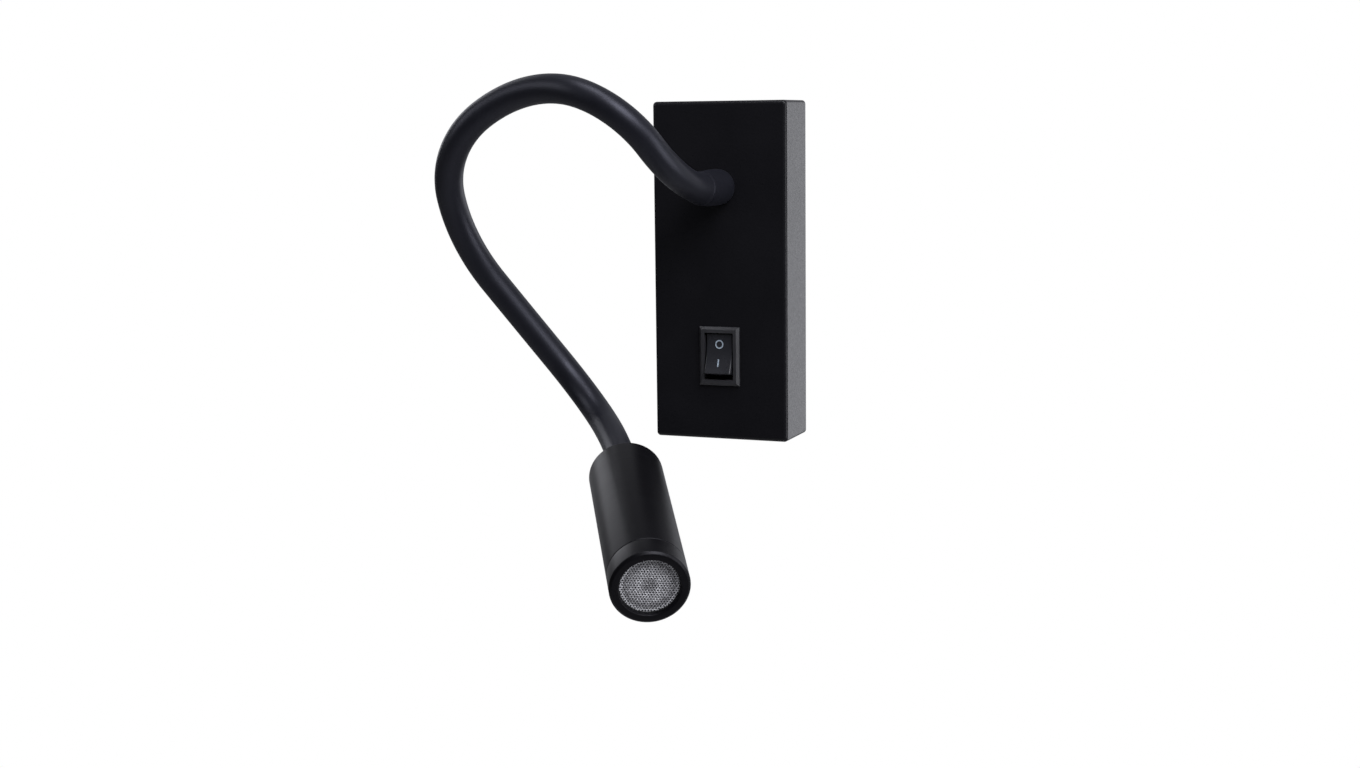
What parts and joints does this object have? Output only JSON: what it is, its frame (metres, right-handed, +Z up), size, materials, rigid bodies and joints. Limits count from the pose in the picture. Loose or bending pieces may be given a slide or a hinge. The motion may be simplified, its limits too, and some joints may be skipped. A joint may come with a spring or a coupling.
{
  "type": "wall reading lamp",
  "caption": "Bedside reading lamp: a slim steel wall box with a rocker switch, a flexible gooseneck and a small spot head.",
  "frame": {"origin": "middle of the wall box's back, where it meets the wall", "axes": "+Y into the wall, -Y into the room, +Z up, +X to the right as seen from the room"},
  "size_m": [0.1225, 0.1414, 0.1675],
  "materials": {
    "powder_coat": "fine powder coat, satin",
    "black_screw": "black oxide",
    "zinc_plate": "zinc plated",
    "zinc_screw": "zinc plated",
    "tin_plate": "tinned",
    "spring_steel": "drawn wire",
    "brass": "turned",
    "black_rubber": "matt",
    "neck_black": "soft-touch black",
    "neck_sleeve": "silicone, satin",
    "neck_core": "wound steel",
    "driver_plastic": "moulded",
    "circuit_board": "solder mask",
    "ferrite": "sintered",
    "capacitor_sleeve": "shrink sleeve",
    "terminal_plastic": "moulded",
    "switch_plastic": "moulded nylon",
    "rocker_plastic": "moulded, glossy",
    "anodised_black": "black anodised, fine turned",
    "bare_aluminium": "turned",
    "led_board": "white solder mask",
    "led_phosphor": "silicone over phosphor",
    "holder_plastic": "white moulded",
    "lens_clear": "clear acrylic with a beaded front"
  },
  "bodies": {
    "wall_box": {"housing_cover": "powder_coat", "cover_screws": "black_screw", "wall_plate": "zinc_plate", "cable_grommet": "black_rubber", "earth_tag": "tin_plate", "earth_screw": "brass", "driver_case": "driver_plastic", "driver_lid": "driver_plastic", "driver_board": "circuit_board", "driver_transformer": "ferrite", "driver_capacitors": "capacitor_sleeve", "driver_screws": "zinc_screw", "terminal_block": "terminal_plastic", "terminal_tubes": "brass", "terminal_screws": "zinc_screw", "switch_body": "switch_plastic", "switch_terminals": "tin_plate", "base_ferrule": "neck_black", "ferrule_washer": "zinc_screw", "ferrule_nut": "brass", "neck_sleeve_1": "neck_sleeve", "neck_core_1": "neck_core"},
    "rocker": {"rocker": "rocker_plastic", "switch_spring": "spring_steel", "switch_plunger": "brass"},
    "contact_lever": {"contact_lever": "brass"},
    "neck_1": {"neck_sleeve_2": "neck_sleeve", "neck_core_2": "neck_core"},
    "neck_2": {"neck_sleeve_3": "neck_sleeve", "neck_core_3": "neck_core"},
    "neck_3": {"neck_sleeve_4": "neck_sleeve", "neck_core_4": "neck_core"},
    "neck_4": {"neck_sleeve_5": "neck_sleeve", "neck_core_5": "neck_core"},
    "neck_5": {"neck_sleeve_6": "neck_sleeve", "neck_core_6": "neck_core"},
    "neck_6": {"neck_sleeve_7": "neck_sleeve", "neck_core_7": "neck_core"},
    "neck_7": {"neck_sleeve_8": "neck_sleeve", "neck_core_8": "neck_core"},
    "head": {"head_ferrule": "brass", "head_body": "anodised_black", "head_nut": "brass", "heat_sink": "bare_aluminium", "led_board": "led_board", "board_screws": "zinc_screw", "led_package": "led_phosphor", "lens_holder": "holder_plastic", "lens": "lens_clear", "lens_gasket": "black_rubber", "front_ring": "anodised_black", "neck_sleeve_9": "neck_sleeve", "neck_core_9": "neck_core"}
  },
  "joints": [
    {"name": "neck_bend_1", "type": "hinge", "parent": "wall_box", "child": "neck_1", "pos_m": [0, -0.036, 0.03], "axis": [-0.454, 0, 0.891], "range_deg": [-12, 35]},
    {"name": "neck_bend_2", "type": "hinge", "parent": "neck_1", "child": "neck_2", "pos_m": [-0.00764, -0.06606, 0.045], "axis": [-0.294, -0.711, -0.6388], "range_deg": [-30, 30]},
    {"name": "neck_bend_3", "type": "hinge", "parent": "neck_2", "child": "neck_3", "pos_m": [-0.03526, -0.07151, 0.06377], "axis": [-0.2263, -0.2886, -0.9303], "range_deg": [-30, 30]},
    {"name": "neck_bend_4", "type": "hinge", "parent": "neck_3", "child": "neck_4", "pos_m": [-0.06918, -0.06709, 0.05608], "axis": [0.3426, -0.8111, -0.4741], "range_deg": [-30, 15]},
    {"name": "neck_bend_5", "type": "hinge", "parent": "neck_4", "child": "neck_5", "pos_m": [-0.087, -0.05815, 0.02791], "axis": [0.9775, -0.138, -0.1597], "range_deg": [-30, 12]},
    {"name": "neck_bend_6", "type": "hinge", "parent": "neck_5", "child": "neck_6", "pos_m": [-0.0784, -0.04367, -0.00318], "axis": [-0.6655, -0.4285, -0.6111], "range_deg": [-25, 30]},
    {"name": "neck_bend_7", "type": "hinge", "parent": "neck_6", "child": "neck_7", "pos_m": [-0.05818, -0.03463, -0.03154], "axis": [0.3829, -0.9227, 0.0448], "range_deg": [-30, 30]},
    {"name": "neck_bend_8", "type": "hinge", "parent": "neck_7", "child": "head", "pos_m": [-0.03424, -0.04525, -0.0535], "axis": [-0.2407, 0.2019, -0.9494], "range_deg": [-35, 35]},
    {"name": "rocker_press", "type": "hinge", "parent": "wall_box", "child": "rocker", "pos_m": [0, -0.019, -0.03], "axis": [1, 0, 0], "range_deg": [0, 24]},
    {"name": "contact_tilt", "type": "hinge", "parent": "wall_box", "child": "contact_lever", "pos_m": [0, -0.01275, -0.03], "axis": [1, 0, 0], "range_deg": [-16, 0]}
  ],
  "couplings": [
    {"joint": "contact_tilt", "follows": "rocker_press", "ratio": -0.66667}
  ]
}
